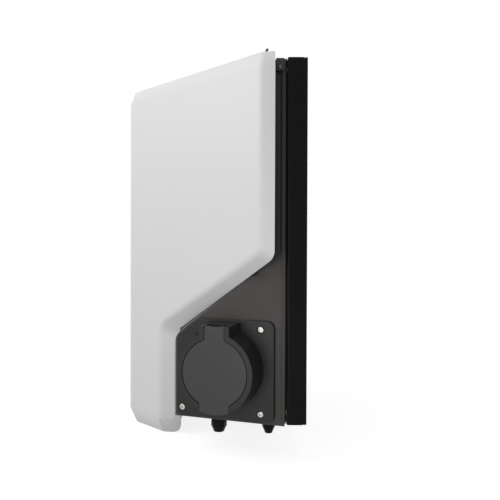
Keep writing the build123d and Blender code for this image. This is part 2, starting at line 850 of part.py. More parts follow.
# Contact insert: a base that closes the well and a tower with a flat top and seven holes
insert_foot = -well_depth
with BuildPart() as contact_insert:
    with BuildSketch(socket_plane(insert_foot)):
        with Locations((ring_u, ring_v)):
            Circle(well_radius - pin_gap)
    extrude(amount=insert_base_thick)
    with BuildSketch(socket_plane(insert_foot)):
        with Locations((ring_u, ring_v)):
            Circle(insert_radius)
        with Locations((ring_u, ring_v + insert_flat + insert_radius)):
            Rectangle(2 * insert_radius, 2 * insert_radius, mode=Mode.SUBTRACT)
    extrude(amount=insert_face - insert_foot)
    with BuildSketch(socket_plane(insert_foot)):
        with Locations((ring_u, ring_v)):
            for pins, radius in ((power_pins, power_pin_radius), (signal_pins, signal_pin_radius)):
                with Locations(*pins):
                    Circle(radius + sleeve_wall + pin_gap)
    extrude(amount=insert_face - insert_foot, mode=Mode.SUBTRACT)
contact_insert.part.label = "contact_insert"
export_step(contact_insert.part, "parts/contact_insert.step")

# Contact sleeves: five for power, two for signals
for group, pins, radius in (
    ("power_sleeves", power_pins, power_pin_radius),
    ("signal_sleeves", signal_pins, signal_pin_radius),
):
    with BuildPart() as sleeves:
        with BuildSketch(socket_plane(insert_foot - sleeve_tail)):
            with Locations((ring_u, ring_v)):
                with Locations(*pins):
                    Circle(radius + sleeve_wall)
        extrude(amount=insert_face - sleeve_sink - insert_foot + sleeve_tail)
        with BuildSketch(socket_plane(insert_face - sleeve_sink)):
            with Locations((ring_u, ring_v)):
                with Locations(*pins):
                    Circle(radius)
        extrude(amount=insert_foot - insert_face, mode=Mode.SUBTRACT)
    sleeves.part.label = group
    export_step(sleeves.part, f"parts/{group}.step")

# Lock actuator on top of the well, and the bolt that it drives down into a plug's notch
bolt_foot = socket_plane(0).from_local_coords((ring_u, ring_v, bolt_depth))
bolt_plane = Plane(bolt_foot, x_dir=socket_u, z_dir=(0, 0, 1))
actuator_foot = well_radius + well_wall
with BuildPart() as lock_actuator:
    with BuildSketch(bolt_plane.offset(actuator_foot)):
        RectangleRounded(actuator_width, actuator_depth, actuator_corner)
    extrude(amount=actuator_height)
    with BuildSketch(bolt_plane.offset(actuator_foot)):
        Circle(bolt_radius + bolt_gap)
    extrude(amount=actuator_height * 0.7, mode=Mode.SUBTRACT)
lock_actuator.part.label = "lock_actuator"
export_step(lock_actuator.part, "parts/lock_actuator.step")

with BuildPart() as lock_bolt:
    with BuildSketch(bolt_plane.offset(well_radius + bolt_tip_gap)):
        Circle(bolt_radius)
    extrude(amount=well_wall - bolt_tip_gap + actuator_height * 0.6)
    chamfer(lock_bolt.faces().sort_by(Axis.Z)[0].edges(), bolt_radius / 4)
lock_bolt.part.label = "lock_bolt"
export_step(lock_bolt.part, "parts/lock_bolt.step")

# Cable glands under the right pod: body, locknut, seal and tapered dome nut
for place, (gland_y, size, drop) in glands.items():
    thread = gland_thread(size)
    bore = gland_bore(size)
    body_rise = drop * 0.33
    with BuildPart() as gland_body:
        with BuildSketch(Plane(Vector(gland_x, gland_y, housing_bottom))):
            RegularPolygon(size / 2, 6, major_radius=False)
        extrude(amount=-body_rise)
        with BuildSketch(Plane(Vector(gland_x, gland_y, housing_bottom))):
            Circle(thread)
        extrude(amount=housing_wall + locknut_thick + 1)
        with BuildSketch(Plane(Vector(gland_x, gland_y, housing_bottom - body_rise))):
            Circle(thread - gland_wall / 2)
        extrude(amount=-body_rise)
        with BuildSketch(Plane(Vector(gland_x, gland_y, housing_bottom - 2 * body_rise))):
            Circle(bore + gland_wall / 2)
        extrude(amount=drop + locknut_thick, mode=Mode.SUBTRACT)
    gland_body.part.label = f"{place}_gland_body"
    export_step(gland_body.part, f"parts/{place}_gland_body.step")

    with BuildPart() as gland_locknut:
        with BuildSketch(Plane(Vector(gland_x, gland_y, housing_bottom + housing_wall))):
            RegularPolygon(size / 2, 6, major_radius=False)
            Circle(thread + pin_gap, mode=Mode.SUBTRACT)
        extrude(amount=locknut_thick)
    gland_locknut.part.label = f"{place}_gland_locknut"
    export_step(gland_locknut.part, f"parts/{place}_gland_locknut.step")

    with BuildPart() as gland_seal:
        with BuildSketch(Plane(Vector(gland_x, gland_y, housing_bottom - 2 * body_rise))):
            Circle(thread - gland_wall)
            Circle(bore, mode=Mode.SUBTRACT)
        extrude(amount=-drop * 0.17)
    gland_seal.part.label = f"{place}_gland_seal"
    export_step(gland_seal.part, f"parts/{place}_gland_seal.step")

    with BuildPart() as gland_nut:
        with BuildSketch(Plane(Vector(gland_x, gland_y, housing_bottom - body_rise))):
            RegularPolygon(size / 2, 8, major_radius=False)
        extrude(amount=-body_rise)
        with BuildSketch(Plane(Vector(gland_x, gland_y, housing_bottom - 2 * body_rise))):
            Circle(size / 2)
        extrude(amount=-body_rise * 1.03, taper=gland_taper)
        with BuildSketch(Plane(Vector(gland_x, gland_y, housing_bottom - body_rise))):
            Circle(thread - gland_wall / 2 + pin_gap)
        extrude(amount=-body_rise - drop * 0.17, mode=Mode.SUBTRACT)
        with BuildSketch(Plane(Vector(gland_x, gland_y, housing_bottom - body_rise))):
            Circle(bore + 0.2)
        extrude(amount=-drop, mode=Mode.SUBTRACT)
    gland_nut.part.label = f"{place}_gland_nut"
    export_step(gland_nut.part, f"parts/{place}_gland_nut.step")

# Grommet in the supply hole of the wall plate
with BuildPart() as supply_grommet:
    with BuildSketch(Plane.XZ.offset(plate_thick)):
        with Locations((0, supply_hole_height)):
            Circle(supply_hole_radius + grommet_lip)
            Circle(supply_cable_radius, mode=Mode.SUBTRACT)
    extrude(amount=grommet_lip)
    fillet(supply_grommet.faces().sort_by(Axis.Y)[0].outer_wire().edges(), grommet_lip / 2)
    with BuildSketch(Plane.XZ.offset(plate_thick)):
        with Locations((0, supply_hole_height)):
            Circle(supply_hole_radius - pin_gap)
            Circle(supply_cable_radius, mode=Mode.SUBTRACT)
    extrude(amount=-plate_thick)
supply_grommet.part.label = "supply_grommet"
export_step(supply_grommet.part, "parts/supply_grommet.step")

# Rail on the wall plate: a hat section with its flanges in front
rail_front = plate_thick + rail_depth
with BuildPart() as din_rail:
    with BuildSketch(Plane.YZ.offset(-rail_length / 2)):
        with Locations((-plate_thick - rail_sheet / 2, rail_centre)):
            Rectangle(rail_sheet, 2 * rail_web)
        for side in (-1, 1):
            with Locations((-plate_thick - rail_depth / 2, rail_centre + side * rail_web)):
                Rectangle(rail_depth, rail_sheet)
            with Locations((-rail_front + rail_sheet / 2, rail_centre + side * rail_flange)):
                Rectangle(rail_sheet, 2 * (rail_height / 2 - rail_flange))
    extrude(amount=rail_length)
    with BuildSketch(Plane.XZ.offset(plate_thick)):
        with Locations((0, rail_centre)):
            with GridLocations(rail_screw_pitch, 0, 2, 1):
                Circle(screw_shank + screw_clearance)
    extrude(amount=rail_sheet, mode=Mode.SUBTRACT)
din_rail.part.label = "din_rail"
export_step(din_rail.part, "parts/din_rail.step")

with BuildPart() as rail_screws:
    with BuildSketch(Plane.XZ.offset(plate_thick + rail_sheet)):
        with Locations((0, rail_centre)):
            with GridLocations(rail_screw_pitch, 0, 2, 1):
                Circle(screw_head)
    extrude(amount=head_height)
    with BuildSketch(Plane.XZ.offset(plate_thick)):
        with Locations((0, rail_centre)):
            with GridLocations(rail_screw_pitch, 0, 2, 1):
                Circle(screw_shank)
    extrude(amount=rail_sheet)
rail_screws.part.label = "rail_screws"
export_step(rail_screws.part, "parts/rail_screws.step")


def module_case(left, count):
    """A module's case: full height at the back, a lower nose in front, terminals above and below."""
    width = count * module_pitch - module_gap
    nose_front = rail_front + module_depth
    shoulder_front = rail_front + module_shoulder
    with BuildPart() as case:
        with BuildSketch(Plane.YZ.offset(left + module_gap / 2)):
            with Locations((-(rail_front + shoulder_front) / 2, rail_centre)):
                Rectangle(module_shoulder, module_height)
            with Locations((-(rail_front + nose_front) / 2, rail_centre)):
                Rectangle(module_depth, module_nose)
            fillet(vertices().group_by(Axis.X)[0], module_round)
        extrude(amount=width)
        with BuildSketch(Plane.XZ.offset(shoulder_front)):
            for pole in range(count):
                for side in (-1, 1):
                    across = left + (pole + 0.5) * module_pitch
                    with Locations((across, rail_centre + side * terminal_rise)):
                        Circle(terminal_radius)
        extrude(amount=-terminal_depth, mode=Mode.SUBTRACT)
    return case.part


# Protective switch: four poles wide, with a pocket for its toggle and a hole for its test button
rcbo_left = -rail_length / 2 + 9
toggle_x = rcbo_left + 2 * module_pitch
toggle_y = -rail_front - module_depth + toggle_sink
toggle_width = 4 * module_pitch - 4 * module_gap
nose_y = rail_front + module_depth
with BuildPart() as rcbo:
    add(module_case(rcbo_left, 4))
    with BuildSketch(Plane.YZ.offset(toggle_x)):
        with Locations((toggle_y, rail_centre)):
            Circle(toggle_radius + toggle_gap)
    extrude(amount=toggle_width / 2 + toggle_gap, both=True, mode=Mode.SUBTRACT)
    with BuildSketch(Plane.XZ.offset(nose_y)):
        with Locations((toggle_x, rail_centre - test_button_drop)):
            Circle(test_button_radius + pin_gap)
    extrude(amount=-test_button_length - test_button_travel, mode=Mode.SUBTRACT)
rcbo.part.label = "rcbo"
export_step(rcbo.part, "parts/rcbo.step")

with BuildPart() as rcbo_toggle:
    with BuildSketch(Plane.YZ.offset(toggle_x)):
        with Locations((toggle_y, rail_centre)):
            Circle(toggle_radius)
            with Locations(Rotation(0, 0, -toggle_throw)):
                with Locations((-toggle_lever / 2, 0)):
                    Rectangle(toggle_lever, toggle_thick)
    extrude(amount=toggle_width / 2, both=True)
rcbo_toggle.part.label = "rcbo_toggle"
export_step(rcbo_toggle.part, "parts/rcbo_toggle.step")

with BuildPart() as rcbo_test_button:
    with BuildSketch(Plane.XZ.offset(nose_y + test_button_travel + toggle_gap)):
        with Locations((toggle_x, rail_centre - test_button_drop)):
            Circle(test_button_radius)
    extrude(amount=-test_button_length - test_button_travel)
rcbo_test_button.part.label = "rcbo_test_button"
export_step(rcbo_test_button.part, "parts/rcbo_test_button.step")

# Contactor: three poles wide
contactor_left = rcbo_left + 4 * module_pitch
with BuildPart() as contactor:
    add(module_case(contactor_left, 3))
    with BuildSketch(Plane.XZ.offset(nose_y)):
        with Locations((contactor_left + 1.5 * module_pitch, rail_centre)):
            RectangleRounded(module_pitch, module_pitch / 2, module_round)
    extrude(amount=-module_gap, mode=Mode.SUBTRACT)
contactor.part.label = "contactor"
export_step(contactor.part, "parts/contactor.step")

# Energy meter: four poles wide, with a clear window over its display
meter_left = contactor_left + 3 * module_pitch
with BuildPart() as energy_meter:
    add(module_case(meter_left, 4))
    with BuildSketch(Plane.XZ.offset(nose_y)):
        with Locations((meter_left + 2 * module_pitch, rail_centre)):
            RectangleRounded(window_width, window_height, module_round)
    extrude(amount=-window_depth, mode=Mode.SUBTRACT)
energy_meter.part.label = "energy_meter"
export_step(energy_meter.part, "parts/energy_meter.step")

with BuildPart() as meter_window:
    with BuildSketch(Plane.XZ.offset(nose_y)):
        with Locations((meter_left + 2 * module_pitch, rail_centre)):
            RectangleRounded(
                window_width - 2 * pin_gap, window_height - 2 * pin_gap, module_round - pin_gap
            )
    extrude(amount=-window_depth)
meter_window.part.label = "meter_window"
export_step(meter_window.part, "parts/meter_window.step")

# Power supply: a vented metal box on the wall plate
with BuildPart() as power_supply:
    with BuildSketch(Plane.XZ.offset(plate_thick)):
        with Locations(supply_place):
            Rectangle(supply_width, supply_height)
    extrude(amount=supply_depth)
    with BuildSketch(Plane.XZ.offset(plate_thick)):
        with Locations(supply_place):
            Rectangle(supply_width + 4 * screw_head, supply_height / 2)
    extrude(amount=rail_sheet)
    with BuildSketch(Plane.XZ.offset(plate_thick + supply_depth)):
        with Locations(supply_place):
            with GridLocations(vent_pitch, 0, 8, 1):
                SlotOverall(supply_height - 4 * screw_head, vent_width, rotation=90)
    extrude(amount=-vent_width, mode=Mode.SUBTRACT)
power_supply.part.label = "power_supply"
export_step(power_supply.part, "parts/power_supply.step")

# Terminal block: five clamps in a row under the rail
with BuildPart() as terminal_block:
    with BuildSketch(Plane.XZ.offset(plate_thick)):
        with Locations(clamp_place):
            with GridLocations(clamp_pitch, 0, 5, 1):
                Rectangle(clamp_pitch - pin_gap, clamp_height)
            Rectangle(4 * clamp_pitch, clamp_height)
    extrude(amount=clamp_depth)
    with BuildSketch(Plane.XZ.offset(plate_thick + clamp_depth)):
        with Locations(clamp_place):
            with GridLocations(clamp_pitch, clamp_height / 2, 5, 2):
                Circle(terminal_radius)
    extrude(amount=-terminal_depth, mode=Mode.SUBTRACT)
    with BuildSketch(Plane.XY.offset(clamp_place[1] - clamp_height / 2)):
        with Locations((clamp_place[0], -plate_thick - clamp_depth / 2)):
            with GridLocations(clamp_pitch, 0, 5, 1):
                Rectangle(clamp_pitch * 0.6, clamp_pitch * 0.6)
    extrude(amount=terminal_depth * 2, mode=Mode.SUBTRACT)
terminal_block.part.label = "terminal_block"
export_step(terminal_block.part, "parts/terminal_block.step")

# Earth bar: a brass bar on two feet, with five clamp screws
with BuildPart() as earth_bar:
    with BuildSketch(Plane.XZ.offset(plate_thick + earth_bar_rise)):
        with Locations(earth_bar_place):
            Rectangle(earth_bar_length, earth_bar_size)
    extrude(amount=earth_bar_size)
    with BuildSketch(Plane.XZ.offset(plate_thick)):
        with Locations(earth_bar_place):
            with GridLocations(earth_bar_length - earth_bar_size, 0, 2, 1):
                Circle(earth_bar_size * 0.4)
    extrude(amount=earth_bar_rise)
    with BuildSketch(Plane.XY.offset(earth_bar_place[1] - earth_bar_size / 2)):
        with Locations((earth_bar_place[0], -plate_thick - earth_bar_rise - earth_bar_size / 2)):
            with GridLocations(earth_bar_length / 6, 0, 5, 1):
                Circle(earth_bar_size * 0.25)
    extrude(amount=earth_bar_size, mode=Mode.SUBTRACT)
earth_bar.part.label = "earth_bar"
export_step(earth_bar.part, "parts/earth_bar.step")

with BuildPart() as earth_screws:
    with BuildSketch(Plane.XZ.offset(plate_thick + earth_bar_rise + earth_bar_size)):
        with Locations(earth_bar_place):
            with GridLocations(earth_bar_length / 6, 0, 5, 1):
                Circle(screw_head * 0.8)
                Rectangle(screw_head * 2, screw_head / 4, mode=Mode.SUBTRACT)
    extrude(amount=head_height)
    with BuildSketch(Plane.XZ.offset(plate_thick + earth_bar_rise + earth_bar_size)):
        with Locations(earth_bar_place):
            with GridLocations(earth_bar_length / 6, 0, 5, 1):
                Circle(screw_head * 0.8)
    extrude(amount=head_height / 2)
earth_screws.part.label = "earth_screws"
export_step(earth_screws.part, "parts/earth_screws.step")

# Residual current sensor: a ring on a square foot, through which the supply cores pass
with BuildPart() as current_sensor:
    with BuildSketch(Plane.XZ.offset(plate_thick)):
        with Locations(sensor_place):
            RectangleRounded(2.6 * sensor_radius, 2 * sensor_bore, module_round)
            Circle(sensor_radius)
            Circle(sensor_bore, mode=Mode.SUBTRACT)
    extrude(amount=head_height)
    with BuildSketch(Plane.XZ.offset(plate_thick)):
        with Locations(sensor_place):
            Circle(sensor_radius)
            Circle(sensor_bore, mode=Mode.SUBTRACT)
    extrude(amount=sensor_depth)
    fillet(current_sensor.faces().sort_by(Axis.Y)[0].edges(), module_round)
current_sensor.part.label = "current_sensor"
export_step(current_sensor.part, "parts/current_sensor.step")

# Control board behind the housing's front wall, on four spacers
board_front = body_front - housing_wall - board_spacer
with BuildPart() as board_spacers:
    with BuildSketch(Plane.XZ.offset(board_front)):
        with Locations((0, board_centre)):
            with GridLocations(board_width - 10, board_height - 10, 2, 2):
                Circle(spacer_radius)
    extrude(amount=board_spacer)
board_spacers.part.label = "board_spacers"
export_step(board_spacers.part, "parts/board_spacers.step")

with BuildPart() as control_board:
    with BuildSketch(Plane.XZ.offset(board_front)):
        with Locations((0, board_centre)):
            RectangleRounded(board_width, board_height, module_round)
            with GridLocations(board_width - 10, board_height - 10, 2, 2):
                Circle(screw_shank, mode=Mode.SUBTRACT)
    extrude(amount=-board_thick)
control_board.part.label = "control_board"
export_step(control_board.part, "parts/control_board.step")

board_rear = board_front - board_thick
with BuildPart() as board_screws:
    with BuildSketch(Plane.XZ.offset(board_rear)):
        with Locations((0, board_centre)):
            with GridLocations(board_width - 10, board_height - 10, 2, 2):
                Circle(screw_head)
    extrude(amount=-head_height)
    with BuildSketch(Plane.XZ.offset(board_rear)):
        with Locations((0, board_centre)):
            with GridLocations(board_width - 10, board_height - 10, 2, 2):
                Circle(screw_shank - pin_gap)
    extrude(amount=board_thick)
board_screws.part.label = "board_screws"
export_step(board_screws.part, "parts/board_screws.step")

with BuildPart() as board_chips:
    with BuildSketch(Plane.XZ.offset(board_rear)):
        with Locations((0, board_centre)):
            with Locations((0, 0)):
                Rectangle(chip_size, chip_size)
            with GridLocations(chip_size * 2, chip_size * 2, 2, 2):
                Rectangle(chip_size / 2, chip_size / 3)
    extrude(amount=-chip_thick)
board_chips.part.label = "board_chips"
export_step(board_chips.part, "parts/board_chips.step")

with BuildPart() as board_relays:
    with BuildSketch(Plane.XZ.offset(board_rear)):
        with Locations((0, board_centre - board_height / 3)):
            with GridLocations(relay_width * 1.3, 0, 3, 1):
                Rectangle(relay_width, relay_width * 1.4)
    extrude(amount=-relay_depth)
board_relays.part.label = "board_relays"
export_step(board_relays.part, "parts/board_relays.step")

# Reader board between the housing's front and the cover's ridge, on four spacers
reader_rear = body_front + reader_spacer
with BuildPart() as reader_spacers:
    with BuildSketch(Plane.XZ.offset(body_front)):
        with Locations((0, reader_centre)):
            with GridLocations(reader_width - 8, reader_height - 8, 2, 2):
                Circle(spacer_radius)
    extrude(amount=reader_spacer)
reader_spacers.part.label = "reader_spacers"
export_step(reader_spacers.part, "parts/reader_spacers.step")

with BuildPart() as reader_board:
    with BuildSketch(Plane.XZ.offset(reader_rear)):
        with Locations((0, reader_centre)):
            RectangleRounded(reader_width, reader_height, module_round)
    extrude(amount=board_thick)
reader_board.part.label = "reader_board"
export_step(reader_board.part, "parts/reader_board.step")

with BuildPart() as reader_coil:
    with BuildSketch(Plane.XZ.offset(reader_rear + board_thick)):
        with Locations((0, reader_centre)):
            for margin in (3, 5, 7):
                Rectangle(reader_width - 2 * margin, reader_height - 2 * margin)
                Rectangle(
                    reader_width - 2 * margin - 2, reader_height - 2 * margin - 2, mode=Mode.SUBTRACT
                )
    extrude(amount=coil_thick)
reader_coil.part.label = "reader_coil"
export_step(reader_coil.part, "parts/reader_coil.step")
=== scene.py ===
# %% [markdown]
# # A wall charger for electric cars
# The solids of this charger come ready made, at their real size and in their real place. This
# lesson gives them their looks: soft edges, finishes, light and a camera. The frame is loaded
# first, because every later step measures from it.

import json
import math

import bpy
from mathutils import Matrix, Vector

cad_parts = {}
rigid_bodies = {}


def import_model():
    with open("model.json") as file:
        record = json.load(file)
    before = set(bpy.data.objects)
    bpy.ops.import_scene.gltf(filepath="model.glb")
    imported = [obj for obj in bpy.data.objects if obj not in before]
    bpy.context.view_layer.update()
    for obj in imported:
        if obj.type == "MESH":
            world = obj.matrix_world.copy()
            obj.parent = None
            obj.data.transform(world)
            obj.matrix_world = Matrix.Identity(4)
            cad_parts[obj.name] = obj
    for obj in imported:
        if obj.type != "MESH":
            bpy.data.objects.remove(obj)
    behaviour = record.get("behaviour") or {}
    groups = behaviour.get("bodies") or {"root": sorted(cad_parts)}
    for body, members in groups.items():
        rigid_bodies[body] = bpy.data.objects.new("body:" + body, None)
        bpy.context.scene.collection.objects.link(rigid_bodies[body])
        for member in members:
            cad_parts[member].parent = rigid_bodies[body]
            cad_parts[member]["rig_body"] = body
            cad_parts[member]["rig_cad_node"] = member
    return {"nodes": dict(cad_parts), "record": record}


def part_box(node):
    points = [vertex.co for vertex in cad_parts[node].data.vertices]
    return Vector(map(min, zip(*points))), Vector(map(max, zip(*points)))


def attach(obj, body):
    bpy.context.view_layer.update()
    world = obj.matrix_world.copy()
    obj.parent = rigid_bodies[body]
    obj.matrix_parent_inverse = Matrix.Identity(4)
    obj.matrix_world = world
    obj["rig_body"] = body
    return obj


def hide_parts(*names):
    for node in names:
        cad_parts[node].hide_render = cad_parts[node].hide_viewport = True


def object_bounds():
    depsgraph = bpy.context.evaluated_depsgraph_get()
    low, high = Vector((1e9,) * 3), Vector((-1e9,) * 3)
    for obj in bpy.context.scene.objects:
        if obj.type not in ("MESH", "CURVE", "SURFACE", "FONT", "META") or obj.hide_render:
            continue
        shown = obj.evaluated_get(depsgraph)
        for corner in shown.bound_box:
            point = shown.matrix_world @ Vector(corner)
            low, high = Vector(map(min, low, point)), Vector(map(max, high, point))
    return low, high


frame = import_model()
cad_low, cad_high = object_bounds()
record = frame["record"]
slot_of = {part["node"]: part["material_slot"] for part in record["subparts"]}
body_of = {
    node: body for body, members in record["behaviour"]["bodies"].items() for node in members
}
print("solids:", len(frame["nodes"]), "box:", [round(v, 4) for v in cad_high - cad_low])

# %% [markdown]
# ## The camera
# The charger is seen from its right side, from about seventy centimetres, by a camera that is
# nearly level. A short distance makes the ridge at the front look smaller than the wall side,
# so the distance matters as much as the direction. The camera's three axes are worked out from
# its yaw, pitch and roll and put in a matrix, which avoids any doubt about the order of turns.

# %% Camera
CAMERA_PLACE = Vector((0.7087, -0.056, -0.0046))
CAMERA_LENS = 41.62
CAMERA_NEAR = 0.01
CAMERA_YAW, CAMERA_PITCH, CAMERA_ROLL = (math.radians(a) for a in (0.18, 0.38, 0.21))


def camera_axes(yaw, pitch, roll):
    """Right, up and forward of a camera that looks along -X, turned by yaw, pitch and roll."""
    forward = Vector((
        -math.cos(yaw) * math.cos(pitch), math.sin(yaw) * math.cos(pitch), -math.sin(pitch)
    ))
    level = Vector((math.sin(yaw), math.cos(yaw), 0))
    upright = level.cross(forward)
    right = level * math.cos(roll) + upright * math.sin(roll)
    return right, right.cross(forward), forward


camera = bpy.data.objects.new("camera", bpy.data.cameras.new("camera"))
bpy.context.scene.collection.objects.link(camera)
right, up, forward = camera_axes(CAMERA_YAW, CAMERA_PITCH, CAMERA_ROLL)
camera.matrix_world = Matrix.Translation(CAMERA_PLACE) @ Matrix(
    (right, up, -forward)
).transposed().to_4x4()
camera.data.lens = CAMERA_LENS
camera.data.clip_start = CAMERA_NEAR
bpy.context.scene.camera = camera
print("camera looks along", [round(v, 3) for v in forward])

# %% [markdown]
# ## A small language for finishes
# A finish is a material with one shader and a few noise patterns. Writing it node by node
# hides the idea, so two classes help. The first, Value, lets a pattern be added and multiplied
# like a number, and each sum or product adds the Math node that works it out.

# %% Value: a socket that can be added and multiplied
class Value:
    """A number that varies over a surface. Arithmetic on it adds Math nodes."""

    def __init__(self, finish, socket):
        self.finish = finish
        self.socket = socket

    def math(self, operation, first, second):
        """Adds one Math node and returns what it gives."""
        node = self.finish.node("ShaderNodeMath", {"operation": operation}, {0: first, 1: second})
        return Value(self.finish, node.outputs[0])

    def __add__(self, other):
        return self.math("ADD", self, other)

    def __mul__(self, other):
        return self.math("MULTIPLY", self, other)

    __radd__ = __add__
    __rmul__ = __mul__


def around(middle, spread, pattern):
    """A number that swings by spread round middle while the pattern goes from 0 to 1."""
    return middle - spread / 2 + spread * pattern


print("around 0.5 by 0.1:", around(0.5, 0.1, 0), "to", around(0.5, 0.1, 1))

# %% [markdown]
# ## Finish
# The second class makes the nodes of one finish, mixes its colours and feeds its shader. Every
# pattern reads Object coordinates in metres, so a grain of half a millimetre keeps that size
# on each piece, and doesn't stretch where a piece is long.

# %% Finish: a material and its nodes
class Finish:
    """A procedural material. Constants go straight to the shader's own sockets."""

    made = {}
    socket_names = {"Ior": "IOR", "Shine": "Specular IOR Level"}

    def __init__(self, name, **constants):
        self.material = bpy.data.materials.new(name)
        Finish.made[name] = self.material
        self.material.use_nodes = True
        self.tree = self.material.node_tree
        self.shader = self.tree.nodes["Principled BSDF"]
        for key, value in constants.items():
            self.feed(key.replace("_", " ").title(), value)
        self.place = self.node("ShaderNodeTexCoord").outputs["Object"]

    def node(self, kind, settings=(), values=()):
        """Adds a node: its settings first, then numbers, colours or links for its sockets."""
        node = self.tree.nodes.new(kind)
        for key, value in dict(settings).items():
            setattr(node, key, value)
        for key, value in dict(values).items():
            self.join(node.inputs[key], value)
        return node

    def join(self, socket, value):
        """Links a Value or a socket, or sets a plain number or colour."""
        if isinstance(value, Value):
            value = value.socket
        if isinstance(value, bpy.types.NodeSocket):
            self.tree.links.new(value, socket)
        else:
            socket.default_value = value

    def feed(self, name, value):
        """Gives a pattern, a colour or a number to one of the shader's sockets."""
        self.join(self.shader.inputs[self.socket_names.get(name, name)], value)

    def noise(self, size, detail=2.0, stretch=(1, 1, 1)):
        """Noise whose blobs are about size metres across, drawn out along an axis by stretch."""
        scale = tuple(1 / (size * s) for s in stretch)
        mapped = self.node("ShaderNodeMapping", {}, {"Vector": self.place, "Scale": scale})
        texture = self.node(
            "ShaderNodeTexNoise", {}, {"Vector": mapped.outputs[0], "Scale": 1.0, "Detail": detail}
        )
        return Value(self, texture.outputs[0])

    def mix(self, factor, low, high):
        """A colour between low and high."""
        node = self.node("ShaderNodeMix", {"data_type": "RGBA"}, {0: factor, 6: low, 7: high})
        return node.outputs[2]

    def bump(self, height, depth):
        """Raises the surface by up to depth metres where height is 1."""
        node = self.node("ShaderNodeBump", {}, {"Height": height, "Distance": depth})
        self.feed("Normal", node.outputs[0])


def shade(colour, factor):
    """A colour made lighter or darker."""
    return tuple(min(1.0, channel * factor) for channel in colour[:3]) + (1.0,)


print("bright grey:", shade((0.5, 0.5, 0.5), 1.2))

# %% [markdown]
# ## Moulded plastic
# Most of the charger is moulded plastic. The tool that moulds it is sparked or polished, which
# leaves a fine grain, and wide panels cool a little unevenly, which shows as a faint drift in
# tone and in gloss. One function makes them all: grain for the bump, drift for the rest.

# %% Moulded plastic
GRAIN_SHARE = 0.16
DRIFT_SIZE = 0.09
GLOSS_DRIFT = 0.08


def moulded(name, colour, roughness, grain=0.0005, depth=0.00003, drift=0.05, shine=0.5):
    """Plastic with a fine grain and a slow drift in tone and gloss."""
    finish = Finish(name, shine=shine)
    slow = finish.noise(DRIFT_SIZE, 3.0)
    fine = finish.noise(grain)
    tone = slow * (1 - GRAIN_SHARE) + fine * GRAIN_SHARE
    finish.feed("Base Color", finish.mix(tone, shade(colour, 1 - drift), shade(colour, 1 + drift)))
    finish.feed("Roughness", around(roughness, GLOSS_DRIFT, slow))
    finish.bump(fine, depth)


moulded("cover_white", (0.76, 0.76, 0.76), 0.42, grain=0.0006, depth=0.000012, drift=0.012)
moulded("housing_dark", (0.056, 0.051, 0.048), 0.45, grain=0.0007, depth=0.00004, shine=0.25)
moulded("box_black", (0.0035, 0.0035, 0.0035), 0.3, grain=0.0007, depth=0.00004, shine=0.08)
# socket_black is partly painted shade: its tone is darker than the plate's plastic, to stand in for
# the ring's shadow on the plate.
moulded("socket_black", (0.018, 0.0175, 0.0165), 0.4, grain=0.0005, depth=0.00003, shine=0.25)
moulded("lid_grey", (0.047, 0.0465, 0.046), 0.4, grain=0.0005, depth=0.00003, shine=0.25)
moulded("insert_black", (0.03, 0.03, 0.03), 0.4)
moulded("peg_black", (0.008, 0.008, 0.008), 0.4, grain=0.0003, shine=0.15)
moulded("gland_black", (0.004, 0.0038, 0.0038), 0.36, grain=0.0004, shine=0.08)
moulded("actuator_black", (0.03, 0.03, 0.032), 0.4)
moulded("module_grey", (0.52, 0.53, 0.54), 0.45)
moulded("toggle_blue", (0.04, 0.09, 0.32), 0.38, grain=0.0003)
moulded("button_grey", (0.3, 0.3, 0.31), 0.4, grain=0.0003)
moulded("clamp_beige", (0.6, 0.56, 0.47), 0.5)
moulded("spacer_nylon", (0.72, 0.71, 0.66), 0.5, grain=0.0003)
print("plastics:", len(Finish.made))

# %% [markdown]
# ## Rubber, coated metal and bright metal
# Seals are matt rubber with a powdery bloom. The wall plate is coated metal, whose coat has
# the soft ripple of orange peel. The hinge's pin and rolled parts such as the rail carry marks
# along their length, so their noise is drawn out that way. Screws and contacts are too small
# to show more than an even grain.

# %% Rubber, powder coat and bright metal
BLOOM_SIZE = 0.012
RUBBER_GRAIN, RUBBER_DEPTH = 0.0008, 0.00004
PEEL_SIZE, PEEL_DEPTH = 0.0016, 0.00003
COAT_DRIFT_SIZE = 0.05
TARNISH_SIZE = 0.01
MARK_DEPTH = 0.000008


def rubber(name, colour):
    """Matt rubber with a faint pale bloom."""
    finish = Finish(name, shine=0.1)
    bloom = finish.noise(BLOOM_SIZE, 4.0)
    finish.feed("Base Color", finish.mix(bloom, shade(colour, 0.8), shade(colour, 1.5)))
    finish.feed("Roughness", around(0.78, 0.12, bloom))
    finish.bump(finish.noise(RUBBER_GRAIN), RUBBER_DEPTH)


def coated(name, colour, roughness, shine=0.5):
    """Powder coat with orange peel."""
    finish = Finish(name, shine=shine)
    peel = finish.noise(PEEL_SIZE)
    drift = finish.noise(COAT_DRIFT_SIZE)
    finish.feed("Base Color", finish.mix(drift, shade(colour, 0.9), shade(colour, 1.1)))
    finish.feed("Roughness", around(roughness, 0.1, peel))
    finish.bump(peel, PEEL_DEPTH)


def bright(name, colour, roughness, stretch=(1, 1, 1), marks=0.0004):
    """Bare metal whose fine marks run along the stretched axis."""
    finish = Finish(name, metallic=1.0)
    lines = finish.noise(marks, 3.0, stretch)
    tarnish = finish.noise(TARNISH_SIZE, 3.0)
    finish.feed("Base Color", finish.mix(tarnish, shade(colour, 0.88), shade(colour, 1.08)))
    finish.feed("Roughness", around(roughness, 0.12, lines))
    finish.bump(lines, MARK_DEPTH)


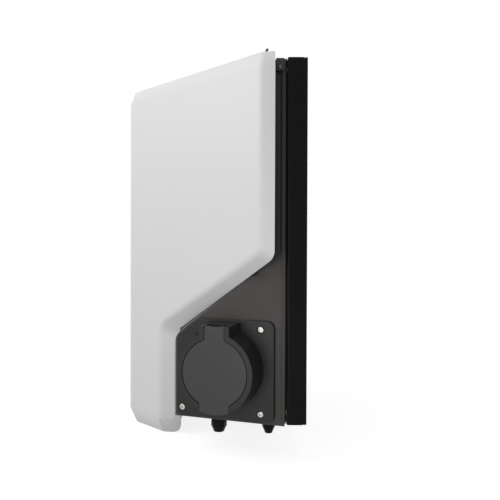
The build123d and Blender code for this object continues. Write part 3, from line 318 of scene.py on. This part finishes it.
rubber("seal_rubber", (0.006, 0.006, 0.006))
coated("plate_black", (0.0035, 0.0035, 0.0035), 0.42, shine=0.08)
bright("screw_stainless", (0.44, 0.43, 0.41), 0.28)
bright("screw_grey", (0.1, 0.1, 0.1), 0.45)
bright("screw_steel", (0.62, 0.62, 0.6), 0.32)
bright("pin_steel", (0.6, 0.6, 0.6), 0.3, stretch=(4, 12, 1))
bright("contact_brass", (0.78, 0.6, 0.3), 0.25)
bright("rail_zinc", (0.66, 0.67, 0.69), 0.35, stretch=(20, 1, 1))
bright("supply_case", (0.62, 0.62, 0.63), 0.4, stretch=(12, 1, 1))
bright("coil_copper", (0.75, 0.42, 0.24), 0.3)
print("with rubber, coat and metals:", len(Finish.made))

# %% [markdown]
# ## Boards and the meter's window
# A circuit board is green lacquer over copper tracks, so the tracks show as slightly lighter
# bands. A brick pattern gives runs that turn in steps. The window is clear plastic, which is
# only alpha and gloss.

# %% Boards and window
TRACK_STEPS = {"offset": 0.35, "squash": 0.7}
TRACK_SIZES = {"Scale": 90.0, "Mortar Size": 0.06, "Row Height": 0.4}
TRACK_HEIGHT = 0.00005


def lacquered(name, colour):
    """Board lacquer with paler tracks under it."""
    finish = Finish(name)
    brick = finish.node("ShaderNodeTexBrick", TRACK_STEPS, {"Vector": finish.place, **TRACK_SIZES})
    tracks = Value(finish, brick.outputs[1])
    finish.feed("Base Color", finish.mix(tracks, shade(colour, 1.0), shade(colour, 1.9)))
    finish.feed("Roughness", around(0.36, 0.12, finish.noise(0.02)))
    finish.bump(tracks, TRACK_HEIGHT)


lacquered("board_green", (0.02, 0.13, 0.05))
window = Finish("window_clear", ior=1.45)
tint = window.mix(window.noise(0.02), (0.7, 0.76, 0.72, 1), (0.78, 0.82, 0.8, 1))
window.feed("Base Color", tint)
window.feed("Roughness", around(0.11, 0.06, window.noise(0.006)))
window.feed("Alpha", around(0.35, 0.1, window.noise(0.03)))
print("finishes in all:", len(Finish.made))

# %% [markdown]
# ## Closer forms
# In a few places the real charger is crisper than its solids. Each such form is a small
# reshaping of the copy that stands for the solid, made before its edges are rounded. RESHAPE
# keeps which node gets which, and the step that dresses the solids looks there.
#
# Most of them change a round corner. Moving each of its points straight away from the arc's
# centre, until it meets the square round the circle, makes the corner square. A curve between
# the two, which a power sets, leaves it a little round: 2 is the circle, and a high power is
# nearly the square.

# %% Tools for reshaping
HAIR = 0.00005
RESHAPE = {}


def select_only(piece):
    """Makes piece the one selected and active object."""
    bpy.ops.object.select_all(action="DESELECT")
    piece.select_set(True)
    bpy.context.view_layer.objects.active = piece


def selected(piece, wanted):
    """Enters edit mode with only the vertices for which wanted(place) is true selected."""
    select_only(piece)
    bpy.ops.object.mode_set(mode="EDIT")
    bpy.ops.mesh.select_mode(type="VERT")
    bpy.ops.mesh.select_all(action="DESELECT")
    bpy.ops.object.mode_set(mode="OBJECT")
    for vertex in piece.data.vertices:
        vertex.select = wanted(vertex.co)
    bpy.ops.object.mode_set(mode="EDIT")


def apply_modifier(piece, name, kind, **settings):
    """Adds a modifier with these settings to the active piece and applies it."""
    modifier = piece.modifiers.new(name, kind)
    for key, value in settings.items():
        setattr(modifier, key, value)
    bpy.ops.object.modifier_apply(modifier=name)


def cut_away(piece, place, outward):
    """Cuts piece at a plane, takes away what lies on its outward side and closes the cut."""
    selected(piece, lambda co: True)
    bpy.ops.mesh.bisect(plane_co=place, plane_no=outward, use_fill=True, clear_outer=True)
    bpy.ops.object.mode_set(mode="OBJECT")


def out_to_corner(across, along, power):
    """Moves a point of a quarter circle out towards the corner of the square round it."""
    reach = math.hypot(across, along)
    share = ((across / reach) ** power + (along / reach) ** power) ** (-1 / power)
    return across * share, along * share


CIRCLE, NEARLY_SQUARE = 2, 60
diagonal = math.sqrt(0.5)
for power in (CIRCLE, NEARLY_SQUARE):
    moved = out_to_corner(diagonal, diagonal, power)[0]
    print("power", power, "takes the middle of the arc to", round(moved, 3))

# %% [markdown]
# ## Square box, square plate and wide seal
# The back box is a plain rectangle with sharp edges, the wall plate is flush with it, and the
# seal between box and housing fills the gap that would otherwise let the light through. All
# three have round corners in X and Z, so one function squares them. The seal keeps a trace of
# its round, and its outer edge is stretched out to its new reach.

# %% Square box, square plate and wide seal
BOX_CORNER = 0.003
BOX_EDGE = 0.002
PLATE_CORNER = 0.006
SEAL_REACH = (0.1485, 0.1776)
SEAL_CORNER = 0.013
SEAL_POWER = 24


def square_corners(piece, half, corner, front=None):
    """Squares the round corners of a plate in X and Z, and the edge of its face ahead of front."""
    for vertex in piece.data.vertices:
        across = abs(vertex.co.x) - half[0] + corner
        along = abs(vertex.co.z) - half[1] + corner
        if across <= 0 or along <= 0:
            continue
        outer = math.hypot(across, along) > corner - HAIR
        if outer or (front is not None and vertex.co.y < front - HAIR):
            across, along = out_to_corner(across, along, NEARLY_SQUARE)
            vertex.co.x = math.copysign(half[0] - corner + across, vertex.co.x)
            vertex.co.z = math.copysign(half[1] - corner + along, vertex.co.z)


def square_box(piece):
    """Back box: square corners, and a sharp front edge above and below."""
    low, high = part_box("back_box")
    front = low.y + BOX_EDGE
    square_corners(piece, (high.x, high.z), BOX_CORNER, front)
    for vertex in piece.data.vertices:
        along = abs(vertex.co.z) - high.z + BOX_EDGE
        ahead = front - vertex.co.y
        if along > 0 and ahead > HAIR:
            along, ahead = out_to_corner(along, ahead, NEARLY_SQUARE)
            vertex.co.z = math.copysign(high.z - BOX_EDGE + along, vertex.co.z)
            vertex.co.y = front - min(ahead, BOX_EDGE)


def square_plate(piece):
    """Wall plate: square corners, and edges flush with the back box."""
    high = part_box("wall_plate")[1]
    square_corners(piece, (high.x, high.z), PLATE_CORNER)
    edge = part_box("back_box")[1]
    for vertex in piece.data.vertices:
        for axis in (0, 2):
            if abs(vertex.co[axis]) > high[axis] - 2 * HAIR:
                vertex.co[axis] = math.copysign(edge[axis], vertex.co[axis])


def widen_seal(piece):
    """Housing seal: its outer edge moves out, past the housing's sides but not its top."""
    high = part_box("housing_seal")[1]
    reach = Vector((SEAL_REACH[0], 0, SEAL_REACH[1]))
    round_start = (high.x - SEAL_CORNER, high.z - SEAL_CORNER)
    for vertex in piece.data.vertices:
        across, along = (abs(vertex.co[axis]) - start for axis, start in zip((0, 2), round_start))
        if across > 0 and along > 0:
            outer = math.hypot(across, along) > SEAL_CORNER - HAIR
            if outer:
                across, along = out_to_corner(across, along, SEAL_POWER)
        else:
            outer = max(across, along) > SEAL_CORNER - HAIR
        if outer:
            vertex.co.x = math.copysign(round_start[0] + across, vertex.co.x) * reach.x / high.x
            vertex.co.z = math.copysign(round_start[1] + along, vertex.co.z) * reach.z / high.z


RESHAPE.update(back_box=square_box, wall_plate=square_plate, housing_seal=widen_seal)
print("squared:", list(RESHAPE))

# %% [markdown]
# ## The socket's plate
# The plate round the socket is cut off along the sloping roof of the pod, where the cover's
# edge runs down, so it has no screw in that corner. A small blind dimple marks its face. Seven
# straight cuts, each turned a little further, take the corner off along the roof, round a
# short arc and down the plate's edge, through the plate and its gasket alike. The dimple is
# drilled with a cylinder and a Boolean, whose object is then taken away.

# %% Plate of the socket, cut along the pod's roof
ROOF_POINT = Vector((0, -0.0458, -0.0282))
ROOF_SLOPE = math.radians(38.9)
ROOF_MARGIN = 0.0014
PLATE_FRONT_EDGE = -0.12869
PLATE_ROUND = 0.0136
ROUND_CUTS = 6
# The mouth of the socket lies this far across, above and out from the middle of the plate.
MOUTH_PLACE = (0.0046, 0.0018, 0.0299)
DIMPLE_PLACE = (-0.0255, 0.0345)
DIMPLE_RADIUS = 0.0018
DIMPLE_DEPTH = 0.0009
DIMPLE_SIDES = 24


def socket_place(across, along):
    """A point on the face of the socket's plate, and the direction that the face looks in."""
    mouth = next(mount for mount in record["mounts"] if mount["name"] == "charging_socket")
    outward = Vector(mouth["axis"])
    upward = Vector((0, 0, 1))
    sideways = upward.cross(outward)
    across, along = across - MOUTH_PLACE[0], along - MOUTH_PLACE[1]
    place = Vector(mouth["pos_m"]) + sideways * across + upward * along - outward * MOUTH_PLACE[2]
    return place, outward


def cut_corner(piece):
    """Cuts a piece by the roof's slope, the plate's front edge and the round between them."""
    slope = math.radians(90) + ROOF_SLOPE
    roof = Vector((0, math.cos(slope), math.sin(slope)))
    level = (ROOF_POINT - roof * ROOF_MARGIN).dot(roof) - PLATE_ROUND
    side = PLATE_FRONT_EDGE + PLATE_ROUND
    centre = Vector((0, side, (level - side * roof.y) / roof.z))
    for step in range(ROUND_CUTS + 1):
        turn = slope + (math.pi - slope) * step / ROUND_CUTS
        outward = Vector((0, math.cos(turn), math.sin(turn)))
        cut_away(piece, centre + outward * PLATE_ROUND, outward)


def cut_plate(piece):
    """The socket's plate: its corner is cut, and a small blind dimple is sunk in its face."""
    cut_corner(piece)
    place, outward = socket_place(*DIMPLE_PLACE)
    bpy.ops.object.select_all(action="DESELECT")
    bpy.ops.mesh.primitive_cylinder_add(
        vertices=DIMPLE_SIDES, radius=DIMPLE_RADIUS, depth=2 * DIMPLE_DEPTH, location=place,
        rotation=outward.to_track_quat("Z", "Y").to_euler(),
    )
    drill = bpy.context.object
    select_only(piece)
    apply_modifier(piece, "dimple", "BOOLEAN", operation="DIFFERENCE", solver="EXACT", object=drill)
    bpy.data.objects.remove(drill, do_unlink=True)


def three_screws(piece):
    """Takes away the screw that would stand in the cut corner."""
    low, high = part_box("socket_screws")
    middle = (low + high) / 2
    selected(piece, lambda co: co.y < middle.y and co.z > middle.z)
    bpy.ops.mesh.delete(type="VERT")
    bpy.ops.object.mode_set(mode="OBJECT")


RESHAPE.update(socket_flange=cut_plate, socket_gasket=cut_corner, socket_screws=three_screws)
print("dimple at", [round(v, 4) for v in socket_place(*DIMPLE_PLACE)[0]])

# %% [markdown]
# ## The chin of the cover
# The beak at the bottom of the cover ends in a tighter round than the solid's. Its points are
# moved out in Y and Z. The cover's sides slope, so each point also slides in X, as far as keeps
# it on the sloping face that it bounds.

# %% Chin of the cover
CHIN_ROUND = 0.017
CHIN_POWER = 3.6
CHIN_REAR = -0.1321
CHIN_SLOPING = 0.3


def tighten_chin(piece):
    """Moves the round under the beak out, and keeps its points on the sloping sides."""
    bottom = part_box("front_cover")[0].z
    centre_y, centre_z = CHIN_REAR - CHIN_ROUND, bottom + CHIN_ROUND
    steepest = {}
    for face in piece.data.polygons:
        for index in face.vertices:
            if abs(face.normal.x) > abs(steepest.get(index, Vector()).x):
                steepest[index] = face.normal.copy()
    for vertex in piece.data.vertices:
        back, down = vertex.co.y - centre_y, centre_z - vertex.co.z
        if back <= 0 or down <= 0 or abs(math.hypot(back, down) - CHIN_ROUND) > 4 * HAIR:
            continue
        new_back, new_down = out_to_corner(back, down, CHIN_POWER)
        normal = steepest[vertex.index]
        if abs(normal.x) > CHIN_SLOPING:
            slide = normal.y * (new_back - back) - normal.z * (new_down - down)
            vertex.co.x -= slide / normal.x
        vertex.co.y = centre_y + new_back
        vertex.co.z = centre_z - new_down


RESHAPE.update(front_cover=tighten_chin)
print("reshaped in all:", len(RESHAPE))

# %% [markdown]
# ## Dressing the solids
# The solids arrive as loose triangles. On the real pieces no edge is knife sharp: a mould or
# a cutter leaves a tiny round that catches the light. So each solid is copied, its triangles
# are merged, flat areas are joined, and a small bevel rounds the edges. Normals weighted by
# the size of the faces then keep the wide panels flat up to their edges. The copy stands for
# the solid and rides on the same body.

# %% Dress each solid
EDGE_ROUND = {
    "front_cover": 0.0004, "housing": 0.0005, "back_box": 0.0004, "wall_plate": 0.0004,
    "socket_flange": 0.0004, "lid": 0.0003, "contact_insert": 0.0004,
}
SMALL_EDGE = 0.00012
EDGE_STEPS = 2
MERGE_GAP = 1e-6
FLAT = math.radians(0.2)
SHARP = math.radians(32)
WIDE_FACES_FIRST = 80


def merged_copy(node):
    """A copy of a solid with its triangles merged and its flat areas joined."""
    solid = frame["nodes"][node]
    piece = solid.copy()
    piece.data = solid.data.copy()
    piece.parent = None
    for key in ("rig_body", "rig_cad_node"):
        del piece[key]
    piece.name = node + "_dressed"
    bpy.context.scene.collection.objects.link(piece)
    select_only(piece)
    bpy.ops.object.mode_set(mode="EDIT")
    bpy.ops.mesh.select_all(action="SELECT")
    bpy.ops.mesh.remove_doubles(threshold=MERGE_GAP)
    bpy.ops.mesh.dissolve_limited(angle_limit=FLAT)
    bpy.ops.object.mode_set(mode="OBJECT")
    return piece


def dressed(node):
    """The copy that stands for a solid: reshaped, with rounded edges and its finish."""
    piece = merged_copy(node)
    if node in RESHAPE:
        RESHAPE[node](piece)
    piece.data.materials.clear()
    piece.data.materials.append(Finish.made[slot_of[node]])
    bpy.ops.object.shade_smooth_by_angle(angle=SHARP)
    apply_modifier(
        piece, "edge", "BEVEL", width=EDGE_ROUND.get(node, SMALL_EDGE), segments=EDGE_STEPS,
        limit_method="ANGLE", angle_limit=SHARP, harden_normals=True, use_clamp_overlap=True,
    )
    apply_modifier(piece, "even", "WEIGHTED_NORMAL", keep_sharp=True, weight=WIDE_FACES_FIRST)
    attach(piece, body_of[node])
    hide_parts(node)
    return piece


pieces = {node: dressed(node) for node in sorted(frame["nodes"])}
print("dressed:", len(pieces), "faces:", sum(len(p.data.polygons) for p in pieces.values()))

# %% [markdown]
# ## Studio
# The backdrop is white: a floor just under the charger and a pale world. Both look white to
# the camera, in gloss and through glass, but light the charger gently, so the white cover
# doesn't burn out. Light Path tells the kinds of ray apart, and a Mix Shader gives each kind
# its own shader.

# %% Tools for the backdrop
WHITE = (1, 1, 1, 1)


def with_inputs(node, **values):
    """Sets sockets of a shader node, where _ stands for a space, and returns its output."""
    for key, value in values.items():
        node.inputs[key.replace("_", " ")].default_value = value
    return node.outputs[0]


def white_to_camera(tree, shader_output, white, target):
    """Shows white to the camera, in glossy rays and through glass, and the shader to the rest."""
    path = tree.nodes.new("ShaderNodeLightPath")
    seen = path.outputs["Is Camera Ray"]
    for other in ("Is Glossy Ray", "Is Transmission Ray"):
        either = tree.nodes.new("ShaderNodeMath")
        either.operation = "MAXIMUM"
        tree.links.new(seen, either.inputs[0])
        tree.links.new(path.outputs[other], either.inputs[1])
        seen = either.outputs[0]
    mix = tree.nodes.new("ShaderNodeMixShader")
    tree.links.new(seen, mix.inputs[0])
    tree.links.new(shader_output, mix.inputs[1])
    tree.links.new(white, mix.inputs[2])
    tree.links.new(mix.outputs[0], target)


print("backdrop white:", WHITE)

# %% World
WORLD_LIGHT = 0.45

world = bpy.data.worlds.new("studio")
bpy.context.scene.world = world
world.use_nodes = True
sky = world.node_tree
ambient = with_inputs(sky.nodes["Background"], Color=WHITE, Strength=WORLD_LIGHT)
plain = with_inputs(sky.nodes.new("ShaderNodeBackground"), Color=WHITE)
white_to_camera(sky, ambient, plain, sky.nodes["World Output"].inputs["Surface"])
print("world light:", WORLD_LIGHT)

# %% [markdown]
# ## Floor
# The floor lies a hair under the charger. To light rays it is a dull mid grey. To the camera it
# is a glow with a little diffuse colour added: the glow makes it white, and the diffuse colour
# goes dark where the charger stands in the lamps' way, so the shadow stays.

# %% Floor
FLOOR_SIZE = 8
FLOOR_DROP = 0.0005
FLOOR_TONE = (0.3, 0.3, 0.3, 1)
SHADOW_TONE = (0.35, 0.35, 0.35, 1)
FLOOR_GLOW = 0.85

floor_level = cad_low.z - FLOOR_DROP
bpy.ops.object.select_all(action="DESELECT")
bpy.ops.mesh.primitive_plane_add(size=FLOOR_SIZE, location=(0, 0, floor_level))
floor = bpy.context.object
floor.name = "floor"
floor_material = bpy.data.materials.new("floor_pale")
floor_material.use_nodes = True
floor_tree = floor_material.node_tree
paper = with_inputs(
    floor_tree.nodes["Principled BSDF"],
    Base_Color=FLOOR_TONE, Roughness=0.9, Specular_IOR_Level=0.0,
)
shadowed = with_inputs(floor_tree.nodes.new("ShaderNodeBsdfDiffuse"), Color=SHADOW_TONE)
glow = with_inputs(floor_tree.nodes.new("ShaderNodeEmission"), Color=WHITE, Strength=FLOOR_GLOW)
lifted = floor_tree.nodes.new("ShaderNodeAddShader")
floor_tree.links.new(shadowed, lifted.inputs[0])
floor_tree.links.new(glow, lifted.inputs[1])
white_to_camera(
    floor_tree, paper, lifted.outputs[0], floor_tree.nodes["Material Output"].inputs["Surface"]
)
floor.data.materials.append(floor_material)
print("floor at", round(floor_level, 3))

# %% [markdown]
# ## Lamps
# A soft lamp high in front gives the cover its gradient. A weaker one on the right lights the
# socket's side, a small one near the floor lifts the slanted band, and one above adds a sheen.
# Their power is low, because the white of the cover has to stay below pure white.

# %% Lamps
def lamp(name, place, aim, size, power):
    """A square soft lamp at place that shines towards aim."""
    light = bpy.data.lights.new(name, "AREA")
    light.size = size
    light.energy = power
    holder = bpy.data.objects.new(name, light)
    bpy.context.scene.collection.objects.link(holder)
    holder.location = place
    holder.rotation_mode = "QUATERNION"
    holder.rotation_quaternion = (Vector(aim) - Vector(place)).to_track_quat("-Z", "Y")


lamp("key", (0.25, -0.8, 0.45), (0.05, -0.1, 0.05), 0.5, 2.8)
lamp("side", (0.85, -0.4, -0.08), (0.12, -0.1, -0.08), 0.5, 1.5)
lamp("low", (0.45, -0.15, -0.19), (0.15, -0.11, -0.05), 0.2, 0.2)
lamp("top", (0.5, -0.1, 1.1), (0.12, -0.1, 0.0), 0.6, 1.5)
bpy.context.scene.view_settings.view_transform = "Standard"
print("lamps:", len(bpy.data.lights))
